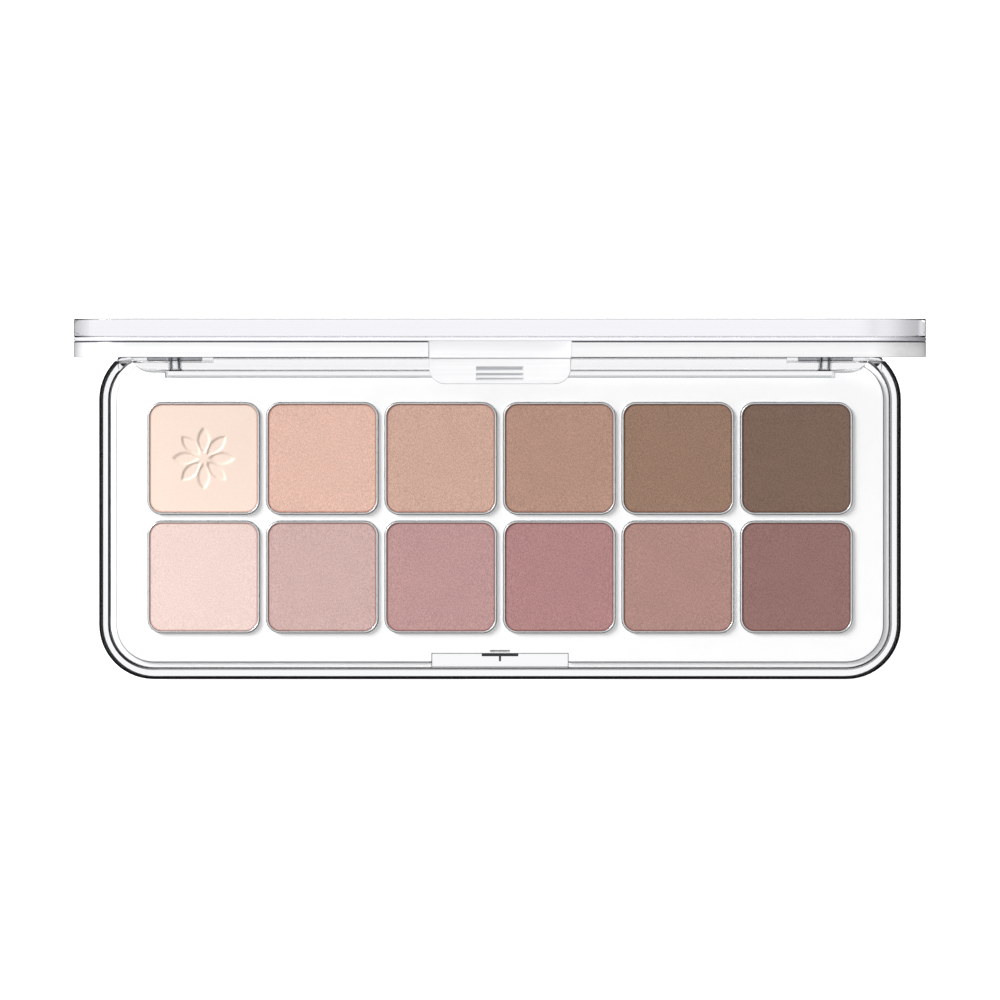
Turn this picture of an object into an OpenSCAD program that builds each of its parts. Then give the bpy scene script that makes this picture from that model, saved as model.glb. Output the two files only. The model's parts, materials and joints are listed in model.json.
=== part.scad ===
// Eyeshadow palette: a clear hinged case holding a white tray, metal pans of
// pressed powder, and a mirrored lid that snaps shut on the front edge.
//
// X runs left to right, Y from the front edge to the hinge, Z up. The origin is
// the centre of the base's underside. Lengths are in millimetres. The pieces of
// the lid are drawn shut, then swung back about the hinge by lid_open degrees.

/* [Case] */
// Width of the case, left to right
case_w = 144; // [118:1:180]
// Depth of the case, front to back
case_d = 60; // [49:1:76]
// Corner radius of the case, seen from above
corner_r = 9.8; // [8:0.1:12]
// Height of the base, up to its rim
base_h = 6.6; // [5.5:0.1:9]
// Thickness of the base's clear side wall
wall = 1.9; // [1.6:0.1:2.3]
// Thickness of the base's clear floor
floor_t = 1.2; // [0.8:0.1:1.4]

/* [Tray] */
// Drop from the base's rim to the tray's face
tray_drop = 1.2; // [1:0.1:1.6]
// Width of the step round the tray's edge
lip_w = 1.05; // [0.6:0.05:1.4]
// Drop of the step round the tray's edge
lip_drop = 0.5; // [0.2:0.1:0.9]
// Thickness of the tray under each pan
well_floor = 1; // [0.6:0.1:1.4]
// Wall left where the tray is cored out from below
tray_skin = 1.2; // [0.8:0.1:1.4]
// Gap all round between the tray and the base
tray_gap = 0.1; // [0.05:0.05:0.2]

/* [Pans and powder] */
// Margin from the case's side to the nearest pan
side_margin = 8.75; // [7:0.05:12]
// Margin from the case's front to the nearest pan
front_margin = 8.35; // [7.5:0.05:10]
// Margin from the case's back to the nearest pan
rear_margin = 10.35; // [9:0.05:12]
// Gap between neighbouring pans
pan_gap = 1.3; // [1:0.05:2]
// Corner radius of a pan
pan_r = 2.5; // [1.5:0.1:4]
// Thickness of a pan's wall
pan_wall = 0.3; // [0.2:0.05:0.7]
// Thickness of a pan's floor
pan_floor = 0.4; // [0.3:0.05:0.6]
// Height of a pan's rim above the tray's face
pan_proud = 0.6; // [0.2:0.1:0.8]
// Gap all round between a pan and its well
pan_fit = 0.1; // [0.05:0.05:0.15]
// Drop from a pan's rim to its powder
powder_drop = 0.15; // [0.05:0.05:0.4]
// Radius of the round motif pressed into the first powder
motif_r = 5.6; // [4:0.1:6.5]
// Depth of that motif
motif_deep = 0.35; // [0.2:0.05:0.6]
// Radius of the glue dot under a pan
glue_r = 5.5; // [3:0.1:6]
// Thickness of the glue dot
glue_t = 0.2; // [0.1:0.05:0.3]

/* [Hinge] */
// Radius of the hinge barrel along the back of the base
barrel_r = 2.3; // [1.9:0.1:2.8]
// Radius of a hinge pin
pin_r = 0.65; // [0.5:0.05:0.8]
// Length of a hinge pin
pin_len = 9.9; // [8:0.1:12]
// Radial clearance of a lug on its pin
pin_play = 0.04; // [0.02:0.01:0.08]
// Distance from the case's side to the outer face of a lug
lug_inset = 12.95; // [12:0.05:16]
// Width of a lid lug
lug_w = 1.7; // [1.4:0.1:2.4]
// Gap on each side of a lug
lug_play = 0.15; // [0.1:0.05:0.3]
// Gap between the barrel and the lid that turns round it
hinge_gap = 0.12; // [0.1:0.01:0.2]
// Width of the clear ledge between the tray and the barrel
ledge_w = 1.15; // [0.8:0.05:1.5]
// Angle the lid is drawn at, from shut
lid_open = 88.2; // [0:0.1:104]
// Angle from shut at which the lid meets its stop
lid_open_max = 104; // [92:1:110]

/* [Lid] */
// Thickness of the lid's inner frame over the hinge barrel
frame_roof = 0.43; // [0.3:0.01:1]
// Thickness of the pearl sheet between the frame and the cover
sheet_t = 0.6; // [0.4:0.05:1]
// Thickness of the clear cover plate
cover_t = 3.15; // [2:0.05:4]
// Gap between the two rims when the lid is shut
shut_gap = 0.1; // [0.05:0.05:0.2]
// Width of the frame at the mirror's sides
lid_border = 3.3; // [3.2:0.1:5]
// Width of the frame between the mirror and the hinge
rear_border = 1.2; // [0.9:0.1:2]
// Thickness of the mirror
mirror_t = 1.1; // [0.8:0.1:1.2]
// Drop from the frame's rim to the mirror's face
mirror_drop = 0.5; // [0.3:0.05:0.6]
// Gap all round between the mirror and the frame
mirror_fit = 0.15; // [0.1:0.05:0.3]
// Thickness of the tape behind the mirror
tape_t = 0.15; // [0.1:0.05:0.2]
// Margin from the mirror's edge to its tape
tape_margin = 4; // [2:0.5:8]

/* [Latch] */
// Width of the lid's tab
tab_w = 23.8; // [18:0.1:30]
// Thickness of the tab
tab_t = 1.1; // [0.9:0.05:1.1]
// Corner radius of the tab
tab_r = 2.7; // [1.5:0.1:3.5]
// Gap on each side of the tab
tab_side_gap = 0.3; // [0.2:0.05:0.5]
// Gap in front of the tab when it is furthest forward
tab_front_gap = 0.08; // [0.05:0.01:0.2]
// Gap under the tab's tip
tab_tip_gap = 1.03; // [0.9:0.01:1.3]
// Depth of the step across the tab at the rim
crease = 0.12; // [0.05:0.01:0.2]
// Width of the catch on the tray and of the hook under it
catch_w = 6.6; // [4:0.1:9]
// How far the catch stands out
catch_out = 0.5; // [0.3:0.05:0.7]
// Height of the catch
catch_h = 0.5; // [0.4:0.05:0.6]
// Drop from the tray's face to the top of the catch
catch_drop = 0.7; // [0.5:0.05:0.8]
// How far the tab's hook reaches under the catch
snap = 0.12; // [0.08:0.01:0.2]
// Depth of the latch pocket, from the front wall to the catch's wall
pocket_d = 2.65; // [2.6:0.05:3]
// Width of the grip lines on the tab
grip_w = 7.8; // [5:0.1:12]
// Depth of the grip lines
grip_deep = 0.15; // [0.1:0.05:0.25]

/* [Hidden] */
$fn = 96;
cut = 0.5;          // how far a cutting solid runs past what it cuts
columns = 6;
rows = 2;
row_names = ["front", "rear"];
shades = [
    ["#f0d9d1", "#d1b1ac", "#c09896", "#b18584", "#b08a81", "#946f6b"],
    ["#fde2d3", "#e3bcac", "#cda898", "#b28e7e", "#987967", "#7c6458"]
];
petals = 8;         // petals in the round motif
// Each petal is where two circles cross. Sizes are shares of the motif's radius.
petal_r = 0.54;     // radius of those circles
petal_out = 0.58;   // distance of a petal's middle from the motif's centre
petal_off = 0.34;   // distance of each circle's centre from the petal's middle

// Levels in the base
tray_top = base_h - tray_drop;
well_z = floor_t + well_floor;
pan_z = well_z + glue_t;
pan_top = tray_top + pan_proud;
pan_h = pan_top - pan_z;
core_top = tray_top - lip_drop - tray_skin;

// Pans fill what the margins leave
pan_w = (case_w - 2 * side_margin - (columns - 1) * pan_gap) / columns;
pan_d = (case_d - front_margin - rear_margin - (rows - 1) * pan_gap) / rows;
pans_y = (front_margin - rear_margin) / 2;

// Hinge
axis_y = case_d / 2 - barrel_r;
axis_z = base_h;
relief_r = barrel_r + hinge_gap;
end_gap = 0.1;                                  // gap at each end of the barrel
lug_drop = 0.1;                                 // how far a lug lies below the barrel's face
lug_r = barrel_r - lug_drop;
lug_out = case_w / 2 - lug_inset;
lug_in = lug_out - lug_w;
pin_seat = 4.1;                                 // the pin's hold in the barrel outside the lug
pin_out = lug_out + lug_play + pin_seat;
bore_spare = 2;                                 // room past the pin's inner end
bore_in = pin_out - pin_len - bore_spare;
// Half width of the case at a distance y behind the hinge axis
function half_width(y) = case_w / 2 - corner_r + sqrt(pow(corner_r, 2) - pow(corner_r - barrel_r + y, 2));
barrel_half = half_width(0) - end_gap;          // half the barrel's length
relief_half = half_width(0) + end_gap;          // half the length of the lid's relief
// The stop notch ends where the wall is too far forward for the lid to reach it
notch_gap = 0.15;
notch_half = half_width(relief_r * cos(lid_open_max / 2) - notch_gap);

// The tray stops short of the hinge along this line, with an arc round each ear
land_y = axis_y - barrel_r - ledge_w;
land_spare = 1.05;                              // how far the line runs past a lug
land_half = lug_out + land_spare;
ear_step = 0.9;
ear_y = land_y + ear_step;
ear_r = 4.1;
ear_inset = 5.9;                                // from the barrel's end to the arc's centre
ear_x = barrel_half - ear_inset;

// Latch. The tab's tip swings forward as it rises, so it stands back by that much.
tip_z = floor_t + tab_tip_gap;
reach = axis_y + case_d / 2 - wall;
tip_swing = reach - sqrt(pow(reach, 2) - pow(base_h - tip_z, 2));
tab_front = -case_d / 2 + wall + tip_swing + tab_front_gap;
tab_back = tab_front + tab_t;
pocket_back = -case_d / 2 + wall + pocket_d;
catch_front = pocket_back - catch_out;
catch_top = tray_top - catch_drop;
catch_foot = catch_top - catch_h;
hook_gap = 0.05;        // gap between the hook and the catch above it
hook_top = catch_foot - hook_gap;
hook_face = 0.35;       // height of the hook's face
hook_h = 1.1;           // height of the hook at the tab
tab_skin = 0.2;         // how far the hook is drawn into the tab
crease_z = 0.17;        // height of the step across the tab, below the rim
// Grip lines: distance below the rim, and height
grips = [[1.6, 0.6], [2.7, 0.4], [3.5, 0.3]];

// Lid
rim_z = base_h + shut_gap;
frame_h = relief_r - shut_gap + frame_roof;     // height of the inner frame
frame_top = rim_z + frame_h;
sheet_top = frame_top + sheet_t;
mirror_z = rim_z + mirror_drop;
recess_h = mirror_drop + mirror_t + tape_t;
front_border = 0.05;                            // from the tab's back to the mirror's recess
recess_front = tab_back + front_border;
recess_back = axis_y - relief_r - rear_border;
recess_y = (recess_front + recess_back) / 2;
recess_d = recess_back - recess_front;
recess_w = case_w - 2 * lid_border;
recess_r = corner_r - lid_border;

// ---- Shapes that repeat ----

// A rectangle with round corners
module rounded(w, d, r) {
    square([w - 2 * r, d], center = true);
    square([w, d - 2 * r], center = true);
    for (x = [-1, 1], y = [-1, 1])
        translate([x * (w / 2 - r), y * (d / 2 - r)]) circle(r);
}

// The case seen from above, drawn in by inset all round
module case_outline(inset = 0) rounded(case_w - 2 * inset, case_d - 2 * inset, corner_r - inset);

// A bar along X with the hinge axis as its centre
module axis_bar(r, half) axis_span(r, -half, half);

// A bar along X between two places
module axis_span(r, from, to) translate([from, axis_y, axis_z]) rotate([0, 90, 0])
    cylinder(r = r, h = to - from);

// A shape drawn in Y and Z, made h long in X and centred at x = 0
module along_x(h) rotate([90, 0, 90]) translate([0, 0, -h / 2]) linear_extrude(h) children();

// Two copies, one on each side
module both_sides() for (side = [0, 1]) mirror([side, 0, 0]) children();

// The centre of the pan in row r and column c
module at_pan(r, c) translate([
    (c - (columns - 1) / 2) * (pan_w + pan_gap),
    pans_y + (r - (rows - 1) / 2) * (pan_d + pan_gap), 0]) children();

// Swings the shut lid back about the hinge
module swung() translate([0, axis_y, axis_z]) rotate([-lid_open, 0, 0])
    translate([0, -axis_y, -axis_z]) children();

// ---- Base ----

// The clear land in front of the hinge, where the tray stops; spare draws it in
module hinge_land(spare = 0) {
    translate([-land_half + spare, land_y + spare]) square([2 * (land_half - spare), case_d / 2]);
    translate([-ear_x, ear_y + spare]) square([2 * ear_x, case_d / 2]);
    both_sides() translate([ear_x, ear_y + ear_r]) circle(ear_r - spare);
}

// The tray seen from above; spare gives the room that the base leaves for it
module tray_outline(spare = 0) difference() {
    case_outline(wall + tray_gap - spare);
    hinge_land(spare);
}

// The wedge behind and below the barrel that the lid's back edge swings into
module stop_notch() difference() {
    along_x(2 * notch_half) polygon([
        [axis_y, axis_z],
        [axis_y + 2 * barrel_r, axis_z],
        [axis_y + 2 * barrel_r, axis_z - relief_r - 2 * barrel_r * tan(lid_open_max - 90)],
        [axis_y, axis_z - relief_r]]);
    axis_bar(barrel_r, notch_half + cut);
}

// Room above the ledge in front of the barrel
module ledge_cut() difference() {
    translate([0, 0, tray_top]) linear_extrude(barrel_r + base_h) intersection() {
        case_outline(wall);
        translate([-case_w / 2, 0]) square([case_w, axis_y]);
    }
    axis_bar(barrel_r, case_w / 2);
}

module base_shell() color([0.9, 0.92, 0.95, 0.45]) difference() {
    union() {
        linear_extrude(base_h) case_outline();
        intersection() {
            axis_bar(barrel_r, barrel_half);
            linear_extrude(base_h + 2 * barrel_r) case_outline();
        }
    }
    translate([0, 0, floor_t]) linear_extrude(base_h + 2 * barrel_r) tray_outline(tray_gap);
    ledge_cut();
    stop_notch();
    both_sides() axis_span(relief_r, lug_in - lug_play, lug_out + lug_play);
    both_sides() axis_span(pin_r, bore_in, case_w / 2);
}

// The catch on the pocket's back wall, and a rib below it
module catch() {
    rib_w = 0.4;
    rib_out = 1.5;
    rib_h = 0.9;
    translate([-catch_w / 2, catch_front, catch_foot]) cube([catch_w, catch_out + cut, catch_h]);
    translate([-rib_w / 2, pocket_back - rib_out, floor_t]) cube([rib_w, rib_out + cut, rib_h]);
}

module pan_tray() color([0.96, 0.96, 0.97]) {
    pocket_w = tab_w + 2 * tab_side_gap;
    slot = [3.6, 0.4, 1.6];     // the spring slot's width, depth and height
    slot_wall = 0.25;           // wall between the pocket and the slot
    wells_w = columns * (pan_w + pan_gap) + 2 * tray_skin;
    wells_d = rows * (pan_d + pan_gap) + 2 * tray_skin;
    difference() {
        linear_extrude(tray_top) tray_outline();
        translate([0, 0, -cut]) linear_extrude(floor_t + cut) case_outline();
        // step round the edge
        translate([0, 0, tray_top - lip_drop]) linear_extrude(base_h) difference() {
            case_outline();
            case_outline(wall + tray_gap + lip_w);
        }
        // wells for the pans
        for (r = [0:rows - 1], c = [0:columns - 1]) at_pan(r, c)
            translate([0, 0, well_z]) linear_extrude(base_h)
                rounded(pan_w + 2 * pan_fit, pan_d + 2 * pan_fit, pan_r + pan_fit);
        // pocket for the tab
        translate([-pocket_w / 2, -case_d / 2, -cut]) cube([pocket_w, case_d / 2 + pocket_back, base_h]);
        // spring slot behind the catch
        translate([0, pocket_back + slot_wall + slot[1] / 2, tray_top - slot[2]]) linear_extrude(base_h)
            rounded(slot[0], slot[1], 0.475 * slot[1]);
        // cored out from below, left and right of the wells
        both_sides() translate([0, 0, -cut]) linear_extrude(core_top + cut) intersection() {
            case_outline(wall + tray_gap + tray_skin);
            translate([wells_w / 2, pans_y - wells_d / 2]) square([case_w, wells_d]);
        }
    }
    catch();
}

module pan_glue_dots() color([0.85, 0.82, 0.7])
    for (r = [0:rows - 1], c = [0:columns - 1]) at_pan(r, c)
        translate([0, 0, well_z]) cylinder(r = glue_r, h = glue_t);

module hinge_pin() color([0.75, 0.76, 0.78]) axis_span(pin_r, pin_out - pin_len, pin_out);
module hinge_pin_left() mirror([1, 0, 0]) hinge_pin();
module hinge_pin_right() hinge_pin();

// ---- Pans and powder ----

// The inside of a pan, seen from above
module pan_inside() rounded(pan_w - 2 * pan_wall, pan_d - 2 * pan_wall, pan_r - pan_wall);

module pan(r, c) color([0.82, 0.82, 0.84]) at_pan(r, c) translate([0, 0, pan_z]) difference() {
    linear_extrude(pan_h) rounded(pan_w, pan_d, pan_r);
    translate([0, 0, pan_floor]) linear_extrude(pan_h) pan_inside();
}

// A ring of pointed petals
module motif() for (i = [0:petals - 1]) rotate(i * 360 / petals) translate([motif_r * petal_out, 0])
    intersection_for(side = [-1, 1]) translate([0, side * motif_r * petal_off]) circle(motif_r * petal_r);

module powder(r, c) color(shades[r][c]) at_pan(r, c) difference() {
    translate([0, 0, pan_z + pan_floor]) linear_extrude(pan_h - pan_floor - powder_drop) pan_inside();
    if (r == 1 && c == 0)
      translate([0, 0, pan_top - powder_drop - motif_deep]) linear_extrude(base_h) motif();
}

// ---- Lid ----

// The tab in Y and Z: a plate with a step at the rim, and the hook on its back
module tab_side() {
    polygon([
        [tab_front - crease, frame_top], [tab_front - crease, rim_z - crease_z],
        [tab_front, rim_z - crease_z], [tab_front, tip_z], [tab_back, tip_z], [tab_back, frame_top]]);
}

module tab() {
    intersection() {
        along_x(tab_w) tab_side();
        translate([0, tab_back + cut, 0]) rotate([90, 0, 0]) linear_extrude(tab_t + 2 * cut) {
            translate([-tab_w / 2, tip_z + tab_r]) square([tab_w, frame_top - tip_z]);
            translate([-tab_w / 2 + tab_r, tip_z]) square([tab_w - 2 * tab_r, frame_top - tip_z]);
            both_sides() translate([tab_w / 2 - tab_r, tip_z + tab_r]) circle(tab_r);
        }
    }
    along_x(catch_w) polygon([
        [tab_back - tab_skin, hook_top], [catch_front + snap, hook_top],
        [catch_front + snap, hook_top - hook_face], [tab_back - tab_skin, hook_top - hook_h]]);
}

// A lug: a ring round the pin, carried down from the frame
module lug() translate([(lug_in + lug_out) / 2, 0, 0]) along_x(lug_w) {
    translate([axis_y, axis_z]) circle(lug_r);
    translate([axis_y - lug_r, axis_z]) square([2 * lug_r, frame_top - axis_z]);
}

module lid_frame() color([0.95, 0.95, 0.97, 0.7]) swung() difference() {
    union() {
        difference() {
            translate([0, 0, rim_z]) linear_extrude(frame_h) case_outline();
            translate([0, recess_y, rim_z - cut]) linear_extrude(recess_h + cut)
                rounded(recess_w, recess_d, recess_r);
            axis_bar(relief_r, relief_half);
            // finger nick in front of the tab
            translate([-tab_w / 2, -case_d, rim_z - cut])
                cube([tab_w, case_d + tab_front - crease, frame_h + 2 * cut]);
        }
        tab();
        both_sides() lug();
    }
    both_sides() axis_span(pin_r + pin_play, lug_in - cut, lug_out + cut);
    for (g = grips) translate([-grip_w / 2, tab_front - cut, rim_z - g[0] - g[1]])
        cube([grip_w, cut + grip_deep, g[1]]);
}

module lid_sheet() color([0.93, 0.92, 0.97]) swung()
    translate([0, 0, frame_top]) linear_extrude(sheet_t) case_outline();

module lid_cover() color([0.88, 0.87, 0.96, 0.5]) swung()
    translate([0, 0, sheet_top]) linear_extrude(cover_t) case_outline();

module mirror_glass() color([0.8, 0.84, 0.86]) swung()
    translate([0, recess_y, mirror_z]) linear_extrude(mirror_t)
        rounded(recess_w - 2 * mirror_fit, recess_d - 2 * mirror_fit, recess_r - mirror_fit);

module mirror_tape() color([0.3, 0.3, 0.32]) swung()
    translate([0, recess_y, mirror_z + mirror_t]) linear_extrude(tape_t)
        rounded(recess_w - 2 * tape_margin, recess_d - 2 * tape_margin, recess_r / 2);

// ---- Assembly ----

base_shell();
pan_tray();
pan_glue_dots();
hinge_pin_left();
hinge_pin_right();
for (r = [0:rows - 1], c = [0:columns - 1]) {
    pan(r, c);
    powder(r, c);
}
lid_frame();
lid_sheet();
lid_cover();
mirror_glass();  // mirror
mirror_tape();
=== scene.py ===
# %% [markdown]
# # An eyeshadow palette in clear plastic
#
# The palette is a clear moulded case with a glossy white tray, twelve tin-plated
# pans of pressed powder and a lid that stands open. The mechanical model is loaded
# first and never moved. Each piece is then given its looks: soft edges, a pressed
# surface, and a finish made of shader nodes. Lengths are in metres, as in the
# model, and a length in millimetres is written as a number times `mm`.

# %% Load the mechanical model
import json
import bmesh
import bpy
import numpy as np
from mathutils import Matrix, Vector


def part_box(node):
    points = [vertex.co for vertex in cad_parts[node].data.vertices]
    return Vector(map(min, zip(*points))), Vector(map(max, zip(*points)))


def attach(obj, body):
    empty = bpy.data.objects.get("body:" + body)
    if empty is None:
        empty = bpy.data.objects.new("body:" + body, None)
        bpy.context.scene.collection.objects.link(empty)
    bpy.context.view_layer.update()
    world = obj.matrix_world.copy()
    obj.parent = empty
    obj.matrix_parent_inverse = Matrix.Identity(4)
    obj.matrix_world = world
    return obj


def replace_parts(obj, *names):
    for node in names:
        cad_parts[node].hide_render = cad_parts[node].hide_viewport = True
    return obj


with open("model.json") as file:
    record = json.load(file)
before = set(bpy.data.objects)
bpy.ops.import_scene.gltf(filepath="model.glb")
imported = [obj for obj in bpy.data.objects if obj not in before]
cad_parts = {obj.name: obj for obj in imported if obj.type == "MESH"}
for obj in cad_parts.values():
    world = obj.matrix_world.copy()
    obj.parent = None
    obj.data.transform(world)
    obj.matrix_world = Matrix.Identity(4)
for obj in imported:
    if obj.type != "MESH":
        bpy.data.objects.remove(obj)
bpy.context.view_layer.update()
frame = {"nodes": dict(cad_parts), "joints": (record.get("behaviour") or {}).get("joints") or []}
nodes = frame["nodes"]
mm = 0.001
case_low, case_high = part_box("base_shell")
case_width, case_depth = case_high.x - case_low.x, case_high.y - case_low.y
case_corner = 9.8 * mm
print("pieces in the model:", len(nodes))
print("case: %.1f x %.1f mm" % (case_width / mm, case_depth / mm))

# %% [markdown]
# ## Where the camera stands
#
# The palette is seen from straight above, from far enough away that its sides stay
# hidden. A long lens does that: the lid's edge, 60 mm nearer to the camera than the
# base, then looks only 7 % wider.

# %% Camera
camera = bpy.data.objects.new("camera", bpy.data.cameras.new("camera"))
bpy.context.scene.collection.objects.link(camera)
camera.location = (0, 2.17 * mm, 831.2 * mm)
camera.data.sensor_width = 36
camera.data.lens = 165.4
camera.data.clip_start = 10 * mm
camera.data.clip_end = 20
bpy.context.scene.camera = camera
print("camera height: %.3f m" % camera.location.z)

# %% [markdown]
# ## Shader nodes as arithmetic
#
# A finish is a small sum of noises, ramps and masks. Written as nodes it is long,
# so one class wraps a socket and turns `+`, `-`, `*`, `**` and `abs` into Math nodes,
# and one method adds any other node. Settings come first because they decide which
# sockets a node has.


# %% Sockets that add up
class Wire:
    """A shader socket that can be used in a sum. mask * 0.5 adds a Multiply node."""

    def __init__(self, finish, socket):
        self.finish, self.socket = finish, socket

    def math(self, operation, a, b):
        return self.finish.math(operation, a, b)

    def __add__(self, other):
        return self.math("ADD", self, other)

    def __sub__(self, other):
        return self.math("SUBTRACT", self, other)

    def __rsub__(self, other):
        return self.math("SUBTRACT", other, self)

    def __mul__(self, other):
        return self.math("MULTIPLY", self, other)

    def __pow__(self, other):
        return self.math("POWER", self, other)

    def __abs__(self):
        return self.math("ABSOLUTE", self, 0.0)

    __radd__, __rmul__ = __add__, __mul__


class Finish:
    """The nodes of a new material, or of an owner that is there already, and the one way to add to them."""

    def __init__(self, name, owner=None):
        self.owner = owner or bpy.data.materials.new(name)
        self.owner.use_nodes = True
        self.tree = self.owner.node_tree
        self.tree.nodes.clear()

    def add(self, kind, settings, sockets, out=0):
        """Adds a node, sets its settings and then its sockets, and returns one output."""
        new = self.tree.nodes.new(kind)
        for key, value in settings.items():
            setattr(new, key, value)
        for key, value in sockets.items():
            if isinstance(value, Wire):
                self.tree.links.new(value.socket, new.inputs[key])
            else:
                new.inputs[key].default_value = value
        return Wire(self, new.outputs[out]) if len(new.outputs) else None

    def math(self, operation, a, b=0.0):
        return self.add("ShaderNodeMath", {"operation": operation}, {0: a, 1: b})

    def place(self):
        return self.add("ShaderNodeTexCoord", {}, {}, "Object")

    def axis(self, i):
        """Object coordinate x, y or z, for i of 0, 1 or 2."""
        return self.add("ShaderNodeSeparateXYZ", {}, {0: self.place()}, i)

    def beyond(self):
        """How far a point lies outside the case's outline, from above: the length of what sticks out past
        the rectangle of corner centres, less the corner radius."""
        x = abs(self.axis(0)) - (case_width / 2 - case_corner)
        y = abs(self.axis(1)) - (case_depth / 2 - case_corner)
        past_x, past_y = self.math("MAXIMUM", x, 0.0), self.math("MAXIMUM", y, 0.0)
        inside = self.math("MINIMUM", self.math("MAXIMUM", x, y), 0.0)
        return (past_x ** 2 + past_y ** 2) ** 0.5 + inside - case_corner

    def noise(self, scale, detail, where=None):
        """Cloudy values near 0.5, scale cells to the metre."""
        return self.add("ShaderNodeTexNoise", {}, {
            "Vector": where or self.place(), "Scale": scale, "Detail": detail})

    def stretched(self, x, y, z):
        """Object coordinates times x, y and z, so a pattern is drawn out."""
        return self.add("ShaderNodeVectorMath", {"operation": "MULTIPLY"}, {0: self.place(), 1: (x, y, z)})

    def blend(self, amount, a, b):
        """Colour a where amount is 0 and colour b where it is 1."""
        return self.add("ShaderNodeMix", {"data_type": "RGBA"}, {0: amount, 6: a, 7: b}, 2)

    def step(self, value, low, high):
        """0 below low, 1 above high and a smooth climb between."""
        return self.add("ShaderNodeMapRange", {"interpolation_type": "SMOOTHSTEP"}, {
            "Value": value, "From Min": low, "From Max": high})

    def bump(self, height, distance, strength):
        return self.add("ShaderNodeBump", {}, {"Height": height, "Distance": distance, "Strength": strength})

    def surface(self, sockets):
        return self.add("ShaderNodeBsdfPrincipled", {}, sockets)

    def done(self, shader):
        self.add("ShaderNodeOutputMaterial", {}, {"Surface": shader})
        return self.owner


def colour(code):
    """The linear colour of a hex code, with alpha. Each channel c becomes ((c + 0.055) / 1.055) ** 2.4."""
    c = np.array([int(code[i:i + 2], 16) for i in (1, 3, 5)]) / 255
    c = np.where(c > 0.04045, ((c + 0.055) / 1.055) ** 2.4, c / 12.92)
    return (*map(float, c), 1.0)


print("white as a linear colour:", colour("#f5f5f7"))

# %% [markdown]
# ## Floor and light
#
# Clear plastic has no look of its own: it shows what is round it. So the camera sees
# the floor as a sheet of white paper, while reflected and bent light meets a light
# table that is white under the palette and dark round it. The ceiling is bright and
# gets darker towards the horizon, most of all at the front and the right, and that
# dark helps to draw the thin lines along clear edges. One large soft light hangs to
# the rear left, so that each pan has a soft shadow on its right and front sides.

# %% Floor
floor_mesh = bpy.data.meshes.new("floor")
half, drop = 3.0, -0.2 * mm
corners = [(-half, -half, drop), (half, -half, drop), (half, half, drop), (-half, half, drop)]
floor_mesh.from_pydata(corners, [], [(0, 1, 2, 3)])
floor = bpy.data.objects.new("floor", floor_mesh)
bpy.context.scene.collection.objects.link(floor)
paper = Finish("floor_paper")
speckle = paper.noise(900, 3)
lit_x, lit_y, lit_middle = case_width / 2 + 2 * mm, 36 * mm, 4 * mm
past = paper.math("MAXIMUM", abs(paper.axis(0)) - lit_x, abs(paper.axis(1) - lit_middle) - lit_y)
table = paper.add("ShaderNodeEmission", {}, {
    0: paper.blend(paper.step(past, 0, 12 * mm), (1, 1, 1, 1), (0.03, 0.03, 0.035, 1)), 1: 0.98})
white_sheet = paper.surface({
    "Base Color": paper.blend(speckle, (0.80, 0.80, 0.80, 1), (0.84, 0.84, 0.84, 1)),
    "Roughness": 0.9, "Emission Color": (1, 1, 1, 1), "Emission Strength": 0.75})
direct = paper.add("ShaderNodeLightPath", {}, {}, 0)
either = paper.add("ShaderNodeMixShader", {}, {0: direct, 1: table, 2: white_sheet})
floor_mesh.materials.append(paper.done(either))
print("floor at z = %.1f mm" % (floor_mesh.vertices[0].co.z / mm))

# %% Ceiling and horizon
world = bpy.data.worlds.new("studio")
bpy.context.scene.world = world
sky = Finish("studio", world)
direction = sky.add("ShaderNodeTexCoord", {}, {}, "Generated")
height = sky.add("ShaderNodeSeparateXYZ", {}, {0: direction}, 2)
side = sky.add("ShaderNodeVectorMath", {"operation": "DOT_PRODUCT"}, {0: direction, 1: (-0.75, 0.66, 0)}, 1)
low_light = 0.08 + 0.75 * sky.step(side, -0.1, 0.9)
glow = low_light + (0.74 - low_light) * sky.step(height, 0.10, 0.75)
seen = sky.add("ShaderNodeLightPath", {}, {}, 0)
strength = glow + seen * (1.0 - glow)
sky.add("ShaderNodeOutputWorld", {}, {0: sky.add("ShaderNodeBackground", {}, {0: (1, 1, 1, 1), 1: strength})})
print("sky nodes:", len(world.node_tree.nodes))

# %% Soft light
lamp = bpy.data.objects.new("softbox", bpy.data.lights.new("softbox", "AREA"))
bpy.context.scene.collection.objects.link(lamp)
lamp.data.shape = "DISK"
lamp.data.size = 0.7
lamp.data.energy = 27.0
left, back, up = 1.1, 0.8, 0.75
lamp.location = (-left, back, up)
lamp.rotation_euler = (-np.arctan2(back, up), -np.arctan2(left, np.hypot(back, up)), 0)
bpy.context.scene.view_settings.view_transform = "Standard"
print("softbox: %.1f m across, %.0f W" % (lamp.data.size, lamp.data.energy))

# %% [markdown]
# ## Surfaces from profiles
#
# Nearly every piece here is a rectangle with round corners, seen from above, with
# a profile carried round it. The outline is one array of points with the direction
# that faces outwards at each, and the profile says how far out and how high each
# ring lies. All rings together are one grid, and the grid becomes a mesh with a
# single call.


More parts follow.
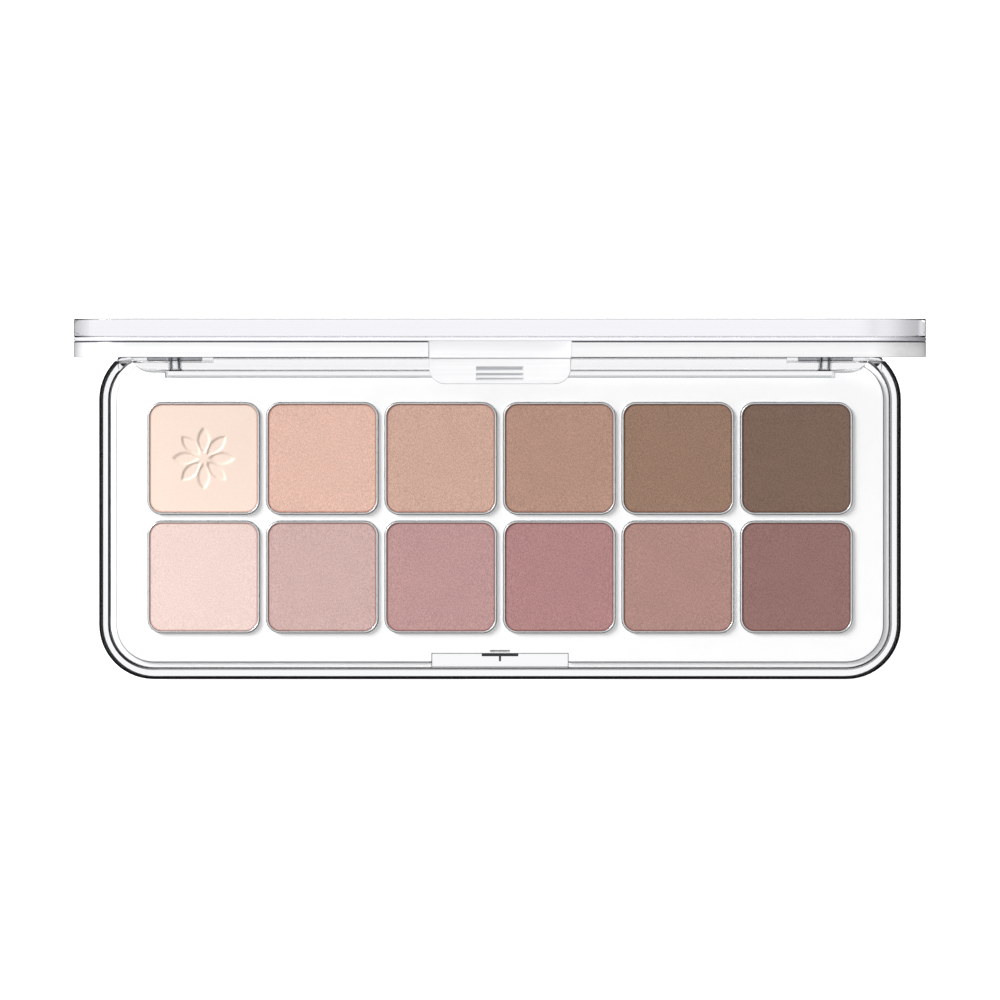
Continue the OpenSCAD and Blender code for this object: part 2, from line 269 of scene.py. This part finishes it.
# %% Outline, rings and mesh
def rounded_outline(width, depth, radius, steps=16, along=1):
    """Points and outward directions once round a rectangle with round corners, anticlockwise.
    A corner's points are its centre + radius * (cos t, sin t), for a quarter turn of t.
    Each straight side between two corners is cut into `along` equal lengths."""
    turn = np.radians(np.arange(4)[:, None] * 90 + np.linspace(0, 90, steps + 1))
    out = np.stack([np.cos(turn), np.sin(turn)], -1)
    centre = np.array([(1, 1), (-1, 1), (-1, -1), (1, -1)]) * (width / 2 - radius, depth / 2 - radius)
    points = centre[:, None] + radius * out
    t = (np.arange(1, along) / along)[None, :, None]
    ends, starts = points[:, -1:], np.roll(points, -1, 0)[:, :1]
    points = np.concatenate([points, ends + (starts - ends) * t], 1)
    out = np.concatenate([out, np.repeat(out[:, -1:], along - 1, 1)], 1)
    return points.reshape(-1, 2), out.reshape(-1, 2)


def carried(outline, profile, centre):
    """A grid of rings: ring i is the outline moved out by profile[i, 0], at height profile[i, 1]."""
    points, out = outline
    profile = np.asarray(profile, float)
    xy = points + out * profile[:, None, :1] + centre
    z = np.broadcast_to(profile[:, 1, None, None], xy.shape[:2] + (1,))
    return np.concatenate([xy, z], -1)


def quarter(r, out, z, start, turn=90, steps=4):
    """Profile points on an arc of radius r round (out, z), from angle start through turn degrees."""
    a = np.radians(start + turn * np.linspace(0, 1, steps + 1))
    return np.stack([out + r * np.cos(a), z + r * np.sin(a)], -1)


def piece(name, grid, finish, body, peak=None, swing=None):
    """Makes a closed piece from a grid of rings, lowest face first. The first ring gets a flat face.
    The last gets one too, or a fan of triangles to the point peak. swing moves every point."""
    rings, around = grid.shape[:2]
    verts = grid.reshape(-1, 3)
    i = np.arange(rings - 1)[:, None] * around
    j = np.arange(around)[None]
    k = (j + 1) % around
    quads = np.stack([i + j, i + k, i + around + k, i + around + j], -1).reshape(-1, 4)
    faces = quads.tolist() + [list(range(around - 1, -1, -1))]
    last = (rings - 1) * around
    if peak is None:
        faces.append(list(range(last, last + around)))
    else:
        verts = np.vstack([verts, peak])
        faces += np.stack([last + j[0], last + k[0], np.full(around, len(verts) - 1)], -1).tolist()
    mesh = bpy.data.meshes.new(name)
    mesh.from_pydata(swing(verts) if swing else verts, [], faces)
    return finished(name, mesh, finish, body)


def finished(name, mesh, finish, body):
    """Puts a mesh into the scene as a smooth-shaded piece with its finish and body."""
    mesh.shade_smooth()
    mesh.set_sharp_from_angle(angle=np.radians(38))
    mesh.materials.clear()
    mesh.materials.append(finish)
    made = bpy.data.objects.new(name, mesh)
    bpy.context.scene.collection.objects.link(made)
    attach(made, body)
    return made


pan_corner = 2.5 * mm
print("points round a pan:", len(rounded_outline(20 * mm, 20 * mm, pan_corner)[0]))

# %% [markdown]
# ## Soft edges on moulded pieces
#
# A moulded edge is never sharp: it has a radius of a few tenths of a millimetre,
# and that radius carries the highlight. The base, the tray and the lid's frame are
# too intricate for one profile, so each is a copy of its mechanical piece. The copy
# is merged, its flat faces are joined, and a Bevel modifier rounds what is left. In a
# hollow corner a rounding adds plastic, so where two pieces nearly meet, such a
# corner stays crisp.


# %% Soft copy of a mechanical piece
def beyond(points):
    """How far points lie outside the case's outline, as Finish.beyond works it out for a shader."""
    past = np.abs(points[:, :2]) - (case_width / 2 - case_corner, case_depth / 2 - case_corner)
    return np.hypot(*np.maximum(past, 0).T) + np.minimum(past.max(1), 0) - case_corner


def softened(node, body, radius, share, finishes, picked=None, tight=None):
    """A copy of a node with its doubles merged, flat faces joined and edges above 35 degrees rounded, but
    for edges under 0.1 mm, which are too short to round. share takes the middles of all edges and gives the
    part of the radius that each edge gets. The finishes are for the faces, for the rounded edges and for the
    faces that picked chooses from their middles. tight chooses the edges that stay crisp where hollow."""
    made = bmesh.new()
    made.from_mesh(nodes[node].data)
    bmesh.ops.remove_doubles(made, verts=made.verts, dist=0.001 * mm)
    bmesh.ops.dissolve_limit(made, angle_limit=np.radians(0.5), verts=made.verts, edges=made.edges)
    bend = np.array([edge.calc_face_angle(0) for edge in made.edges])
    middle = np.array([(edge.verts[0].co + edge.verts[1].co) / 2 for edge in made.edges])
    length = np.array([edge.calc_length() for edge in made.edges])
    rounded = np.where((bend > np.radians(35)) & (length > 0.1 * mm), share(middle), 0)
    if tight:
        hollow = np.array([not edge.is_convex for edge in made.edges])
        rounded[hollow & tight(middle)] = 0
    middle = np.array([face.calc_center_median() for face in made.faces])
    mesh = bpy.data.meshes.new(node + "_moulded")
    made.to_mesh(mesh)
    made.free()
    weight = mesh.attributes.new("bevel_weight_edge", "FLOAT", "EDGE")
    weight.data.foreach_set("value", rounded.astype(np.float32))
    if "custom_normal" in mesh.attributes:
        mesh.attributes.remove(mesh.attributes["custom_normal"])
    mesh.shade_smooth()
    mesh.set_sharp_from_angle(angle=np.radians(35))
    mesh.materials.clear()
    for finish in finishes:
        mesh.materials.append(finish)
    if picked:
        mesh.polygons.foreach_set("material_index", np.where(picked(middle), 2, 0).astype(np.int32))
    copy = bpy.data.objects.new(mesh.name, mesh)
    bpy.context.scene.collection.objects.link(copy)
    bevel = copy.modifiers.new("soft_edges", "BEVEL")
    bevel.width = radius
    bevel.segments = 3
    bevel.limit_method = "WEIGHT"
    bevel.use_clamp_overlap = False
    bevel.material = 1
    bevel.face_strength_mode = "FSTR_ALL"
    flat = copy.modifiers.new("flat_faces_stay_flat", "WEIGHTED_NORMAL")
    flat.keep_sharp = True
    flat.use_face_influence = True
    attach(copy, body)
    kept = volume(copy) / volume(nodes[node])
    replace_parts(copy, node)
    print(copy.name, "faces:", len(mesh.polygons), "volume kept: %.3f" % kept)
    return copy


def volume(thing):
    """The space a closed mesh holds: the sum over its triangles of a . (b x c) / 6."""
    solid = bmesh.new()
    solid.from_object(thing, bpy.context.evaluated_depsgraph_get())
    size = solid.calc_volume()
    solid.free()
    return size


# %% [markdown]
# ## Clear plastic
#
# The case is polished polystyrene. It bends light like glass, with an index near
# 1.5. A face seen almost edge on sends the eye far away into the dark room, which
# is why such an edge looks black, so the finish paints that shade in: it mixes in a
# flat black surface there. A very faint waviness is left by the mould.


# %% Clear finish
def clear_plastic(name, tint, dark=(0.84, 0.94), inner=1.0, ends=0.0):
    """Clear plastic with painted shade: where it is seen at a slope a flat black is mixed in, for the dark
    room seen in such an edge. dark gives where that starts and ends, as 1 minus the cosine of the slope.
    Edges inside the outline get the share inner of the painted black, but all of it at the left end, and the
    hinge gets less.
    ends paints shade into the tint towards the rounded ends."""
    made = Finish(name)
    flow = made.noise(60, 2)
    x = made.axis(0)
    last_millimetre = made.step(x, 70.0 * mm, 70.8 * mm)
    # Painted shade: the tint greys towards the rounded ends.
    painted_shade_right = made.step(x, 62 * mm, 69.8 * mm) * (1 - 0.7 * last_millimetre)
    painted_shade_left = 0.6 * made.step(x, -68 * mm, -71 * mm)
    tint = made.blend(ends * (painted_shade_right + painted_shade_left), tint, tuple(0.36 * c for c in tint[:3]) + (1,))
    clear = made.surface({
        "Base Color": made.blend(0.02 * flow, tint, (0, 0, 0, 1)),
        "Roughness": 0.01 + 0.02 * made.noise(400, 3), "IOR": 1.49, "Transmission Weight": 1.0,
        "Normal": made.bump(flow, 0.02 * mm, 0.3)})
    # Painted shade: a flat black surface, mixed in where the plastic is seen at a slope.
    painted_black = made.surface({"Base Color": (0.01, 0.01, 0.012, 1), "Roughness": 1.0, "Specular IOR Level": 0.0})
    facing = made.add("ShaderNodeLayerWeight", {}, {"Blend": 0.5}, "Facing")
    at_hinge = made.step(made.axis(1), 22 * mm, 24 * mm) * made.step(abs(x), 68 * mm, 66 * mm)
    outline = made.step(made.beyond(), -1.2 * mm, -0.8 * mm)
    full = made.math("MAXIMUM", outline, made.step(x, -60 * mm, -68 * mm))
    amount = made.step(facing, *dark) * (inner + (1 - inner) * full) * (1 - 0.45 * at_hinge)
    return made.done(made.add("ShaderNodeMixShader", {}, {0: amount, 1: clear, 2: painted_black}))


# Painted shade: both finishes mix in black where the case is seen at a slope. case_edge, on the rounded
# edges, turns black from the smallest slope on, which paints dark lines along the case's edges.
case_clear = clear_plastic("case_clear", (0.985, 0.99, 1.0, 1))
case_edge = clear_plastic("case_edge", (0.95, 0.955, 0.97, 1), (0.0, 0.04), 0.4)


def barrel_end(at, above=6.4 * mm):
    """Which places lie at the hinge barrel's ends and higher than above. The case's top is at 6.6 mm."""
    return (np.abs(at[:, 0]) > 60 * mm) & (at[:, 1] > 23.5 * mm) & (at[:, 2] > above)


def case_share(at):
    """Full radius round the outside and two thirds of it inside. The barrel's ends stay crisp."""
    return np.where(barrel_end(at, 6.65 * mm), 0.0, np.where(beyond(at) > -0.05 * mm, 1.0, 0.65))


base = softened(
    "base_shell", "base", 0.42 * mm, case_share, [case_clear, case_edge], tight=barrel_end)
base.visible_shadow = False

# %% [markdown]
# ## White tray
# The tray is glossy white polystyrene, moulded in one piece with its wells. It is
# almost one flat white, so what shows it is real is small: a faint mottle in its
# gloss, and painted shade on its rounded edges: grey lines along its outline and the
# ledge by the hinge, and darker ones round the latch pocket. The catch in the pocket,
# moulded with the tray, is painted dark as shade. The catch in the pocket has a dark finish of its own.

# %% Tray
white = Finish("tray_white")
mottle = white.noise(150, 3)
tray_white = white.done(white.surface({
    "Base Color": white.blend(mottle, colour("#f6f6f7"), colour("#fafafa")),
    "Roughness": 0.12 + 0.1 * mottle, "Coat Weight": 0.5, "Coat Roughness": 0.05,
    "Normal": white.bump(white.noise(3000, 2), 0.01 * mm, 0.25)}))
edge = Finish("tray_edge")
# Painted shade: the tray's rounded edges are painted grey along its outline and the ledge by the hinge, and
# dark round the latch pocket.
at_outline = edge.step(edge.beyond(), -3.5 * mm, -3.3 * mm)
outer = edge.math("MAXIMUM", at_outline, edge.step(edge.axis(1), 23.2 * mm, 23.5 * mm))
pocket = edge.step(abs(edge.axis(0)), 12.7 * mm, 12.5 * mm) * edge.step(edge.axis(1), -25.1 * mm, -25.3 * mm)
painted_edge_shade = edge.blend(outer, colour("#f2f2f3"), colour("#9ba1a5"))
tray_edge = edge.done(edge.surface({
    "Base Color": edge.blend(pocket, painted_edge_shade, colour("#3e4246")), "Coat Weight": 0.3,
    "Roughness": 0.12 + 0.1 * edge.noise(150, 3)}))
# Painted shade: the catch, part of the white tray, is painted dark, as the shade in the latch pocket.
catch = Finish("catch_painted_shade")
dull = catch.noise(1200, 3)
catch_painted_shade = catch.done(catch.surface({
    "Base Color": catch.blend(dull, colour("#22272e"), colour("#363c44")), "Roughness": 0.3 + 0.2 * dull}))


def tray_share(at):
    """Full radius everywhere but at the thin wall of the catch's spring slot, which stays crisp."""
    at_slot = (np.abs(at[:, 0]) < 4 * mm) & (at[:, 1] > -25.3 * mm) & (at[:, 1] < -24.2 * mm)
    return np.where(at_slot, 0.0, 1.0)


def at_catch(at):
    """The catch and its rib, in the latch pocket."""
    return (np.abs(at[:, 0]) < 3.4 * mm) & (at[:, 1] < -25.5 * mm) & (at[:, 1] > -27.0 * mm)


softened(
    "pan_tray", "base", 0.12 * mm, tray_share, [tray_white, tray_edge, catch_painted_shade], at_catch)

# %% [markdown]
# ## Tin pans
#
# Each pan is drawn from thin tin-plated steel, so its rim is a narrow rounded band
# and its base has a round corner. One profile does it: out along the bottom, up the
# outside, over the rim, down the inside and in along the floor.

# %% Pan profile
rows = ("front", "rear")
names = [(row, i) for row in rows for i in range(1, 7)]
rim = 0.3 * mm


def pan_profile(low, high):
    """How far out and how high: round corner 0.4, wall, rim rounded over 0.14, inner wall and floor."""
    return np.vstack([
        [(-0.6 * mm, low)], quarter(0.4 * mm, -0.4 * mm, low + 0.4 * mm, 270),
        quarter(0.14 * mm, -0.14 * mm, high - 0.14 * mm, 0, 180, 8),
        quarter(0.3 * mm, -rim - 0.3 * mm, low + 0.7 * mm, 0, -90)])


# %% Tin finish
tin = Finish("tin_plate")
drawn = tin.noise(900, 3, tin.stretched(1, 1, 8))
tin_plate = tin.done(tin.surface({
    "Base Color": tin.blend(drawn, colour("#eeeff1"), colour("#fafafa")),
    "Metallic": 1.0, "Roughness": 0.22 + 0.14 * drawn, "Normal": tin.bump(drawn, 0.01 * mm, 0.3)}))

for row, i in names:
    node = f"pan_{row}_{i}"
    low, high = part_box(node)
    outline = rounded_outline(high.x - low.x, high.y - low.y, pan_corner)
    grid = carried(outline, pan_profile(low.z, high.z), ((low.x + high.x) / 2, (low.y + high.y) / 2))
    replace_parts(piece(node + "_tin", grid, tin_plate, "base"), node)
print("pan: %.2f mm wide, %.2f mm high" % ((high.x - low.x) / mm, (high.z - low.z) / mm))

# %% [markdown]
# ## Pressed powder
#
# Powder is pressed into the pan through a cloth, so its face carries a fine grain,
# and it ends in a soft rounded edge a little below the rim. The face is a stack of
# rings that shrink towards the middle, with one height for every point. The first
# rear pan also has a round ornament of eight petals pressed into it.


# %% Petals and powder face
powder_corner = 2.2 * mm
crown = 0.06 * mm
petal_depth = 0.24 * mm


def petals(x, y, radius=5.6 * mm, count=8, soft=0.55 * mm):
    """How deep the ornament is at each point, 0 to 1. A petal is where two circles cross: a point's depth
    climbs smoothly with its distance inside both, and the deepest of all the petals counts."""
    deepest = np.full(x.shape, -1.0)
    for turn in np.arange(count) * 2 * np.pi / count:
        along = x * np.cos(turn) + y * np.sin(turn) - 0.58 * radius
        across = -x * np.sin(turn) + y * np.cos(turn)
        inside = 0.54 * radius - np.hypot(along, np.abs(across) + 0.34 * radius)
        deepest = np.maximum(deepest, inside)
    t = np.clip(deepest / soft + 0.25, 0, 1)
    return t * t * (3 - 2 * t)


def powder_piece(name, node, finish, fine=False):
    """Rings up the side, over a rounded edge of 0.16 mm, then inwards to the middle. The face is crowned:
    its height is top - crown * r ** 2, with r going from 0 in the middle to 1 at the edge. fine adds the
    petals. The attribute from_wall goes from 0 at the pan's wall to 1 in the middle, for the finish."""
    low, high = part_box(node)
    width, depth, round_edge, gap = high.x - low.x, high.y - low.y, 0.16 * mm, 0.015 * mm
    middle = np.array([low.x + high.x, low.y + high.y]) / 2
    outline = rounded_outline(width - 2 * gap, depth - 2 * gap, powder_corner - gap, 16, 40 if fine else 8)
    edge_top = high.z - crown
    side = np.vstack([[(-0.3 * mm, low.z + 0.01 * mm), (0, low.z + 0.3 * mm)],
                      quarter(round_edge, -round_edge, edge_top - round_edge, 0, steps=6)])
    grid = carried(outline, side, middle)
    shrink = 1 - np.linspace(0, 1, 130 if fine else 26)[1:-1]
    face = middle + (grid[-1:, :, :2] - middle) * shrink[:, None, None]
    z = np.broadcast_to(high.z - crown * shrink[:, None] ** 2, face.shape[:2]).copy()
    peak = [*middle, high.z]
    if fine:
        z -= petal_depth * petals(*(face - middle).transpose(2, 0, 1))
    grid = np.concatenate([grid, np.concatenate([face, z[..., None]], -1)])
    made = piece(name, grid, finish, "base", peak)
    near_wall = np.concatenate([np.zeros(len(side) - 1), np.linspace(0, 1, len(shrink) + 1), [1.0]])
    near_wall = np.append(np.repeat(near_wall[:-1], grid.shape[1]), 1.0)
    from_wall = made.data.attributes.new("from_wall", "FLOAT", "POINT")
    from_wall.data.foreach_set("value", near_wall.astype(np.float32))
    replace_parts(made, node)
    return made


# %% Powder finish
def powder_finish(name, code, satin=0.0):
    """Pressed powder: its colour with a fine mottle and paler specks, and a painted shade, darker and redder,
    where it meets the pan. satin, 0 to 1, makes it smoother and a little glossier. A dark shade gets more
    contrast
    than a pale one: 2.7 - 3.2 * its lowest channel."""
    made = Finish(name)
    shade = np.array(colour(code)[:3])
    inward = made.add("ShaderNodeAttribute", {"attribute_name": "from_wall"}, {}, "Fac")
    slanted = made.add("ShaderNodeMapping", {}, {
        "Vector": made.place(), "Rotation": (0, 0, 0.7), "Scale": (1, 0.55, 1)})
    cloth = made.add("ShaderNodeTexVoronoi", {"feature": "F1"}, {"Vector": slanted, "Scale": 4200.0})
    grain = made.noise(6500, 2, slanted)
    clouds = made.noise(260, 3)
    relief = 0.6 * cloth + 0.5 * grain
    contrast = (1 - 0.75 * satin) * (2.7 - 3.2 * float(shade.min()))
    tone = 0.5 + contrast * (1.9 * (grain - 0.5) + 0.2 * (clouds - 0.5) + 0.35 * (cloth - 0.45))
    base = made.blend(tone, (*(shade * 0.80), 1), (*np.minimum(shade * 1.19, 1), 1))
    speck = made.step(made.noise(7000, 1), 0.66, 0.74)
    base = made.blend(speck * 0.35, base, (*np.minimum(shade * 1.3 + 0.03, 1), 1))
    # Painted shade: a thin band next to the pan's wall is painted darker and redder, as the shade where the
    # powder meets the rim.
    rim_shade = (1 - made.step(inward, 0.0, 0.016)) * 0.5
    base = made.blend(rim_shade, base, (*(shade * (0.60, 0.34, 0.30)), 1))
    return made.done(made.surface({
        "Base Color": base, "Roughness": (0.72 - 0.3 * satin) + 0.2 * grain, "Metallic": satin * 0.05,
        "Sheen Weight": 0.12, "Sheen Roughness": 0.5,
        "Normal": made.bump(relief, 0.03 * mm, 0.6 - 0.4 * satin)}))


shades = {
    "front": ("#e6cdc5", "#c7a7a2", "#b68e8c", "#aa7d7c", "#a88279", "#8c6762"),
    "rear": ("#ffddce", "#ddb5a5", "#c9a393", "#af8a79", "#937360", "#755c4e")}
for row, i in names:
    node = f"powder_{row}_{i}"
    first = (row, i) == ("rear", 1)
    finish = powder_finish(node + "_pressed", shades[row][i - 1], 1.0 if first else 0.1)
    powder_piece(node + "_pressed", node, finish, first)
print("powders pressed:", len(names))

# %% [markdown]
# ## Steel pins, glue and small hidden pieces
#
# The lid turns on two short steel pins. A pin is a bar with chamfered ends, so its
# surface is a circle carried along the bar's axis. The glue under the pans can't be
# seen from above, but it gets its own finish too.


# %% Pins
def pin_grid(low, high):
    """Circles round the bar's axis at distances x along it: radius less 0.15 mm at the ends, full between."""
    r = (high.z - low.z) / 2
    x = np.array([low.x, low.x + 0.15 * mm, high.x - 0.15 * mm, high.x])
    radius = np.array([r - 0.15 * mm, r, r, r - 0.15 * mm])
    turn = np.linspace(0, 2 * np.pi, 33)[:-1]
    y = (low.y + high.y) / 2 + radius[:, None] * np.cos(turn)
    z = (low.z + high.z) / 2 + radius[:, None] * np.sin(turn)
    return np.stack([np.broadcast_to(x[:, None], y.shape), y, z], -1)


steel = Finish("pin_steel")
turned = steel.noise(1500, 3, steel.stretched(6, 1, 1))
pin_steel = steel.done(steel.surface({
    "Base Color": steel.blend(turned, colour("#9b9ea4"), colour("#c4c6ca")),
    "Metallic": 1.0, "Roughness": 0.16 + 0.15 * turned, "Normal": steel.bump(turned, 0.01 * mm, 0.4)}))
for node in ("hinge_pin_left", "hinge_pin_right"):
    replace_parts(piece(node + "_steel", pin_grid(*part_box(node)), pin_steel, "base"), node)

# %% Glue
glue = Finish("glue_clear")
blobs = glue.noise(500, 3)
nodes["pan_glue_dots"].data.materials.clear()
nodes["pan_glue_dots"].data.materials.append(glue.done(glue.surface({
    "Base Color": glue.blend(blobs, colour("#d8cfae"), colour("#e9e2c8")), "Roughness": 0.2 + 0.2 * blobs,
    "Transmission Weight": 0.4, "IOR": 1.5, "Normal": glue.bump(blobs, 0.1 * mm, 0.5)})))

# %% [markdown]
# ## The lid
#
# The lid is a sandwich: an inner frame that holds the mirror, a thin pearl sheet
# and a thick clear cover. Flat pieces are easiest to make lying down, so each is
# built shut and then swung open about the hinge by the angle the joint gives.

# %% Swinging the lid
joint = frame["joints"][0]
hinge = np.array(joint["pos_m"], float)
opened = np.radians(-joint["range_deg"][0])


def swing(points, angle=-opened):
    """Turns points about the hinge line, which runs along X: y and z from the hinge turn by the angle."""
    x, y, z = (np.asarray(points) - hinge).T
    turned = y * np.cos(angle) - z * np.sin(angle), y * np.sin(angle) + z * np.cos(angle)
    return np.stack([x, *turned], -1) + hinge


def shut_box(node):
    """Lowest and highest corner of a lid piece once it is swung shut."""
    mesh = nodes[node].data
    points = np.empty(len(mesh.vertices) * 3)
    mesh.vertices.foreach_get("co", points)
    points = swing(points.reshape(-1, 3), opened)
    return points.min(0), points.max(0)


def slab(name, node, finish, corner, edge, trim=0.0, rim_finishes=()):
    """A flat plate with round corners whose edges are rounded over by edge. trim shaves each flat face.
    rim_finishes are for the rounded edges and for the straight side between them."""
    low, high = shut_box(node)
    outline = rounded_outline(high[0] - low[0], high[1] - low[1], corner, 24)
    bottom, top = low[2] + trim + edge, high[2] - trim - edge
    profile = np.vstack([quarter(edge, -edge, bottom, 270), quarter(edge, -edge, top, 0)])
    grid = carried(outline, profile, (low[:2] + high[:2]) / 2)
    made = piece(name, grid, finish, "lid", swing=swing)
    for rim_finish in rim_finishes:
        made.data.materials.append(rim_finish)
    if rim_finishes:
        # Bands of faces, lowest first: 4 on a rounded edge, 1 straight, 4 on the other edge. Then the flats.
        band = np.arange(len(made.data.polygons)) // grid.shape[1]
        made.data.polygons.foreach_set("material_index", np.where(band == 4, 2, band < 9).astype(np.int32))
    made.visible_shadow = False
    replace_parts(made, node)
    print(name, "%.1f x %.1f x %.2f mm" % tuple((high - low) / mm))
    return made


# %% [markdown]
# ## Cover, pearl sheet, mirror and tape
#
# The cover is clear with a breath of lavender. The sheet under it is pearl white.
# The mirror is silvered glass, and a grey foam tape holds it.

# %% Lid finishes
# Painted shade: these mix in black where the cover is seen at a slope, and the side and edge finishes are
# painted greyer towards the rounded ends. cover_edge, on the rounded edges, is greyer still and black from a
# small slope on.
cover_clear = clear_plastic("cover_clear", (0.955, 0.955, 0.995, 1), (0.97, 0.995))
cover_side = clear_plastic("cover_side", (0.955, 0.955, 0.995, 1), ends=1.0)
cover_edge = clear_plastic("cover_edge", (0.80, 0.80, 0.84, 1), (0.10, 0.80), ends=1.0)
pearl = Finish("pearl_white")
flakes = pearl.noise(4000, 2)
pearl_white = pearl.done(pearl.surface({
    "Base Color": pearl.blend(flakes, colour("#efedf6"), colour("#fbfaff")), "Metallic": 0.1,
    "Roughness": 0.25 + 0.2 * flakes, "Coat Weight": 0.5, "Normal": pearl.bump(flakes, 0.01 * mm, 0.3)}))
silver = Finish("mirror_silver")
haze = silver.noise(80, 3)
mirror_silver = silver.done(silver.surface({
    "Base Color": silver.blend(haze, colour("#e4eaea"), colour("#f0f4f4")), "Metallic": 1.0,
    "Roughness": 0.008 + 0.012 * haze}))
foam = Finish("foam_grey")
cells = foam.add("ShaderNodeTexVoronoi", {}, {"Vector": foam.place(), "Scale": 3000.0})
foam_grey = foam.done(foam.surface({
    "Base Color": foam.blend(cells, colour("#4a4a4e"), colour("#6a6a6e")), "Roughness": 0.9,
    "Normal": foam.bump(cells, 0.05 * mm, 0.8)}))

slab("lid_cover_clear", "lid_cover", cover_clear, case_corner, 0.25 * mm, 0.01 * mm,
     (cover_edge, cover_side))
slab("lid_sheet_pearl", "lid_sheet", pearl_white, case_corner, 0.08 * mm, 0.01 * mm)
slab("mirror_glass", "mirror", mirror_silver, 6.35 * mm, 0.12 * mm)
slab("mirror_tape_foam", "mirror_tape", foam_grey, 3.25 * mm, 0.03 * mm)

# %% [markdown]
# ## The lid's frame
#
# The frame is milky rather than clear: light goes in and comes back white, and only
# a little passes through. Its left end is painted grey, as painted shade, and its right
# end glows faintly, as painted light. The lugs that reach down to the hinge are clear,
# with sides painted grey as shade. Its rounded edges are painted grey as shade, darker
# beside the sheet and paler on the tab.

# %% Frame
milky = Finish("frame_milky")
flow = milky.noise(90, 2)
streaks = milky.noise(1400, 2, milky.stretched(0.02, 1, 1))
# Painted shade: the left end is painted grey.
painted_left_shade = 0.5 * milky.step(milky.axis(0), -68.5 * mm, -71.5 * mm)
milk = milky.blend(streaks, colour("#e6e6e8"), colour("#f8f8f8"))
white_part = milky.surface({
    "Base Color": milky.blend(painted_left_shade, milk, colour("#a8a8ad")), "Roughness": 0.1 + 0.08 * flow,
    "IOR": 1.49, "Transmission Weight": 0.08, "Coat Weight": 0.3, "Normal": milky.bump(flow, 0.02 * mm, 0.3),
    # Painted light: the right end glows faintly.
    "Emission Color": milky.blend(milky.step(milky.axis(0), 60 * mm, 71 * mm), (0, 0, 0, 1), (1, 1, 1, 1)),
    "Emission Strength": 0.2})
# Painted shade: the clear lugs get dark grey bands on their sides.
lug_side_shade = milky.step(abs(abs(milky.axis(0)) - 58.3 * mm), 0.3 * mm, 0.7 * mm)
lug_part = milky.surface({
    "Base Color": milky.blend(lug_side_shade, (0.96, 0.97, 0.98, 1), colour("#3c4046")), "Roughness": 0.02,
    "IOR": 1.49, "Transmission Weight": 1.0})
above_lugs = milky.step(milky.axis(2), 9 * mm, 14 * mm)
frame_milky = milky.done(milky.add("ShaderNodeMixShader", {}, {0: above_lugs, 1: lug_part, 2: white_part}))
# Painted shade: the frame's rounded edges are painted grey, dark beside the sheet, where the gap between them
# lies in shade, and pale grey on the tab.
milky_edge = Finish("frame_edge")
painted_edge_shade = milky_edge.blend(milky_edge.noise(90, 2), colour("#7c7f84"), colour("#92959a"))
shade_by_sheet = milky_edge.step(milky_edge.axis(1), 27.6 * mm, 28.2 * mm)
painted_edge_shade = milky_edge.blend(shade_by_sheet, painted_edge_shade, colour("#3a3c40"))
at_tab = milky_edge.step(abs(milky_edge.axis(0)), 12.1 * mm, 11.8 * mm)
frame_edge = milky_edge.done(milky_edge.surface({
    "Base Color": milky_edge.blend(at_tab, painted_edge_shade, colour("#d2d3d5")),
    "Roughness": 0.15, "Coat Weight": 0.3}))
# Painted shade: the grip lines' floors and walls are painted grey, as the shade in the grooves.
grip = Finish("grip_grey")
groove_mottle = grip.noise(2500, 3)
grip_grey = grip.done(grip.surface({
    "Base Color": grip.blend(groove_mottle, colour("#9a9c9f"), colour("#adafb2")), "Roughness": 0.4 + 0.2 * groove_mottle}))


def frame_share(at):
    """Full radius on the outline by the cover, a quarter at the rim, 0.4 on the tab and a fifth elsewhere."""
    shut = swing(at, opened)
    outside = np.where(shut[:, 2] > 8.5 * mm, 1.0, 0.25)
    tab = (np.abs(shut[:, 0]) < 12.2 * mm) & (shut[:, 1] < -26 * mm) & (shut[:, 2] < 6.8 * mm)
    return np.where(tab, 0.4, np.where(beyond(shut) > -0.02 * mm, outside, 0.2))


def at_grips(at):
    """The floors and walls of the tab's grip lines, whose middles lie on x = 0."""
    return (np.abs(at[:, 0]) < 0.1 * mm) & (at[:, 1] < 24.6 * mm) & (at[:, 2] > 61.8 * mm)


lid_frame = softened(
    "lid_frame", "lid", 0.26 * mm, frame_share, [frame_milky, frame_edge, grip_grey], at_grips)
lid_frame.visible_shadow = False
